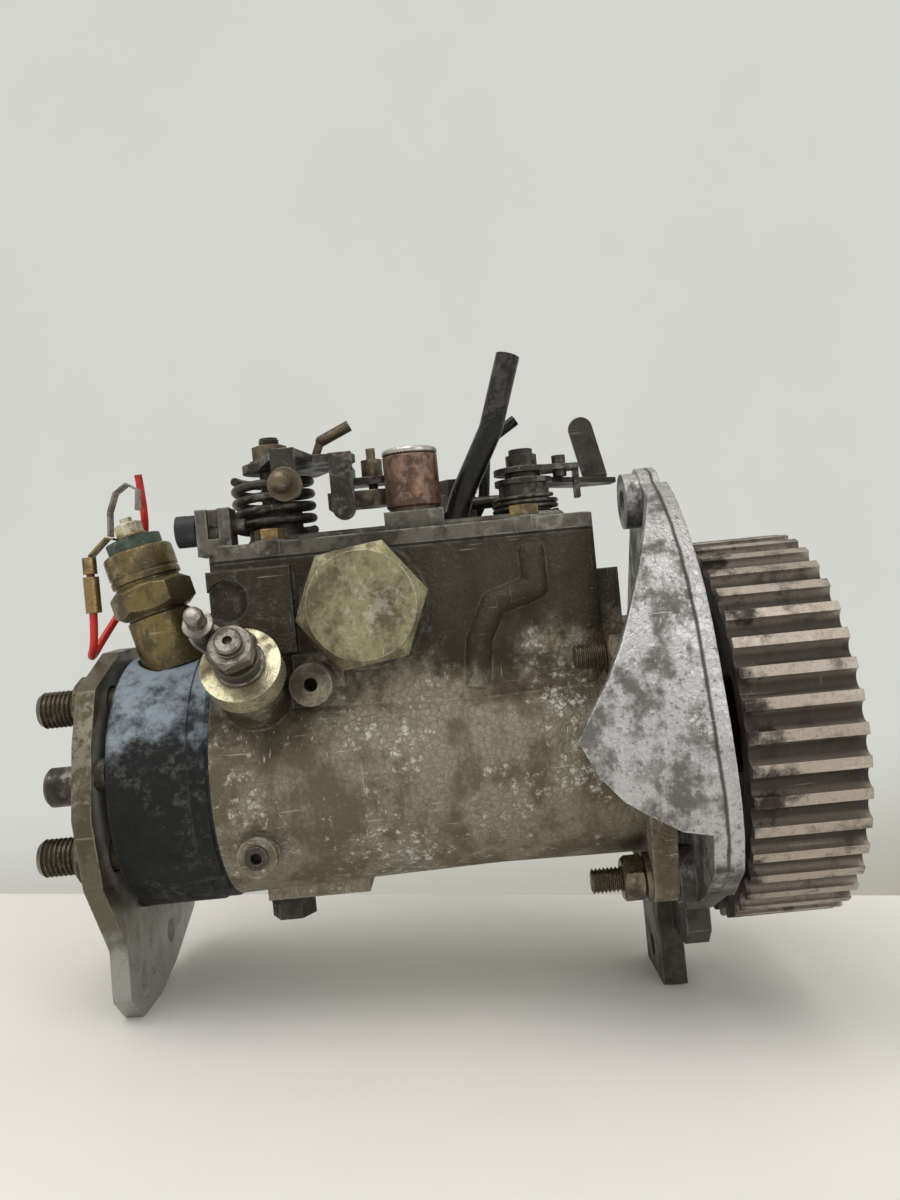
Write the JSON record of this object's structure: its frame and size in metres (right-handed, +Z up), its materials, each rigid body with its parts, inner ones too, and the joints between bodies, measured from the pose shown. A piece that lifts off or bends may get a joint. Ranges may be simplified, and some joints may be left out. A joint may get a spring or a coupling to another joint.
{
  "type": "diesel injection pump",
  "caption": "Rotary distributor diesel injection pump with belt pulley, front bracket, governor cover, levers, shut-off solenoid and high-pressure outlets.",
  "frame": {"origin": "shaft axis, in the plane where the pump's flange meets the front bracket", "axes": "+X along the shaft towards the belt pulley, +Y to the side away from the advance plug, +Z up"},
  "size_m": [0.2593, 0.1404, 0.2245],
  "materials": {
    "cast_housing": "aged grease-stained casting",
    "cast_bracket": "bare casting with dark stains",
    "dark_steel": "oiled dark steel",
    "bright_steel": "worn bare steel",
    "pulley_steel": "sintered steel, worn teeth",
    "yellow_zinc": "worn yellow zinc",
    "brass": "dull brass",
    "copper": "tarnished copper",
    "black_paint": "black paint",
    "black_plastic": "matte",
    "green_plastic": "matte",
    "rubber_black": "matte",
    "red_plastic": "satin insulation",
    "gasket_paper": "matte"
  },
  "bodies": {
    "pump": {"pump_housing": "cast_housing", "governor_cover": "cast_housing", "cover_gasket": "gasket_paper", "cover_screws": "brass", "hydraulic_head": "black_paint", "seals": "rubber_black", "head_bolts": "dark_steel", "rear_bracket": "bright_steel", "high_pressure_outlets": "dark_steel", "end_plug": "dark_steel", "shutoff_solenoid": "brass", "solenoid_insulator": "green_plastic", "terminal_nut": "bright_steel", "terminal_clip": "brass", "wire_loop": "bright_steel", "solenoid_wire": "red_plastic", "adjusting_screws": "dark_steel", "stop_screw_cap": "black_plastic", "tamper_cap": "copper", "return_pipes": "black_paint", "advance_plug": "yellow_zinc", "side_cap": "yellow_zinc", "housing_screws": "dark_steel", "pump_liner": "bright_steel", "shaft_bush": "brass", "front_bracket": "cast_bracket", "bracket_studs": "bright_steel", "stud_nuts": "bright_steel", "fuel_inlet": "yellow_zinc", "arm_pin": "bright_steel", "governor_spring": "bright_steel", "advance_spring": "bright_steel", "throttle_spring": "dark_steel", "idle_spring": "dark_steel"},
    "drive": {"drive_shaft": "bright_steel", "pulley": "pulley_steel", "pulley_key": "bright_steel", "pulley_nut": "dark_steel", "governor_cage": "dark_steel", "rotor": "bright_steel", "transfer_pump": "bright_steel", "plungers": "bright_steel", "rollers": "bright_steel"},
    "sleeve": {"thrust_sleeve": "bright_steel"},
    "weight_a": {"governor_weight_1": "dark_steel"},
    "weight_b": {"governor_weight_2": "dark_steel"},
    "weight_c": {"governor_weight_3": "dark_steel"},
    "weight_d": {"governor_weight_4": "dark_steel"},
    "arm": {"governor_arm": "bright_steel"},
    "link": {"metering_link": "bright_steel"},
    "valve": {"metering_valve": "bright_steel"},
    "cam": {"cam_ring": "bright_steel"},
    "piston": {"advance_piston": "bright_steel"},
    "throttle": {"throttle_shaft": "dark_steel", "throttle_lever": "dark_steel", "throttle_fittings": "bright_steel", "throttle_nut": "dark_steel"},
    "idle": {"idle_lever": "dark_steel"},
    "side": {"side_lever": "dark_steel", "side_pin": "bright_steel"}
  },
  "joints": [
    {"name": "drive_spin", "type": "hinge", "parent": "pump", "child": "drive", "pos_m": [0, 0, 0], "axis": [1, 0, 0], "continuous": true},
    {"name": "weight_a_swing", "type": "hinge", "parent": "drive", "child": "weight_a", "pos_m": [-0.05, 0, 0.02], "axis": [0, 1, 0], "range_deg": [0, 14]},
    {"name": "weight_b_swing", "type": "hinge", "parent": "drive", "child": "weight_b", "pos_m": [-0.05, -0.02, 0], "axis": [0, 0, 1], "range_deg": [0, 14]},
    {"name": "weight_c_swing", "type": "hinge", "parent": "drive", "child": "weight_c", "pos_m": [-0.05, 0, -0.02], "axis": [0, -1, 0], "range_deg": [0, 14]},
    {"name": "weight_d_swing", "type": "hinge", "parent": "drive", "child": "weight_d", "pos_m": [-0.05, 0.02, 0], "axis": [0, 0, -1], "range_deg": [0, 14]},
    {"name": "sleeve_slide", "type": "slide", "parent": "drive", "child": "sleeve", "axis": [-1, 0, 0], "range_m": [0, 0.00183]},
    {"name": "arm_swing", "type": "hinge", "parent": "pump", "child": "arm", "pos_m": [-0.0704, 0, 0.03], "axis": [0, 1, 0], "range_deg": [0, 3.6], "stiffness_Nm_per_rad": 0.4, "springref_deg": -11.46, "deforming": ["governor_spring"]},
    {"name": "link_slide", "type": "slide", "parent": "pump", "child": "link", "axis": [1, 0, 0], "range_m": [0, 0.0021]},
    {"name": "valve_turn", "type": "hinge", "parent": "pump", "child": "valve", "pos_m": [-0.112, 0.014, 0.04], "axis": [0, 0, -1], "range_deg": [0, 12]},
    {"name": "cam_turn", "type": "hinge", "parent": "pump", "child": "cam", "pos_m": [-0.089, 0, 0], "axis": [1, 0, 0], "range_deg": [0, 6], "stiffness_Nm_per_rad": 8, "springref_deg": -5.73},
    {"name": "piston_slide", "type": "slide", "parent": "pump", "child": "piston", "axis": [0, -1, 0], "range_m": [0, 0.0049], "deforming": ["advance_spring"]},
    {"name": "throttle_turn", "type": "hinge", "parent": "pump", "child": "throttle", "pos_m": [-0.1179, -0.01, 0.09], "axis": [0, 0, 1], "range_deg": [0, 40], "stiffness_Nm_per_rad": 0.4, "springref_deg": -34.38, "deforming": ["throttle_spring"]},
    {"name": "idle_turn", "type": "hinge", "parent": "pump", "child": "idle", "pos_m": [-0.0342, -0.008, 0.085], "axis": [0, 0, 1], "range_deg": [0, 35], "stiffness_Nm_per_rad": 0.15, "springref_deg": -34.38, "deforming": ["idle_spring"]},
    {"name": "side_turn", "type": "hinge", "parent": "pump", "child": "side", "pos_m": [-0.1251, -0.052, 0.0385], "axis": [0, -0.866, 0.5], "range_deg": [0, 35], "stiffness_Nm_per_rad": 0.1, "springref_deg": -22.92}
  ],
  "couplings": [
    {"joint": "weight_a_swing", "follows": "sleeve_slide", "rad_per_m": 133.33},
    {"joint": "weight_b_swing", "follows": "sleeve_slide", "rad_per_m": 133.33},
    {"joint": "weight_c_swing", "follows": "sleeve_slide", "rad_per_m": 133.33},
    {"joint": "weight_d_swing", "follows": "sleeve_slide", "rad_per_m": 133.33},
    {"joint": "arm_swing", "follows": "sleeve_slide", "rad_per_m": 33.333},
    {"joint": "link_slide", "follows": "sleeve_slide", "ratio": 1.1167},
    {"joint": "valve_turn", "follows": "sleeve_slide", "rad_per_m": 111.67},
    {"joint": "piston_slide", "follows": "cam_turn", "m_per_rad": 0.046}
  ]
}
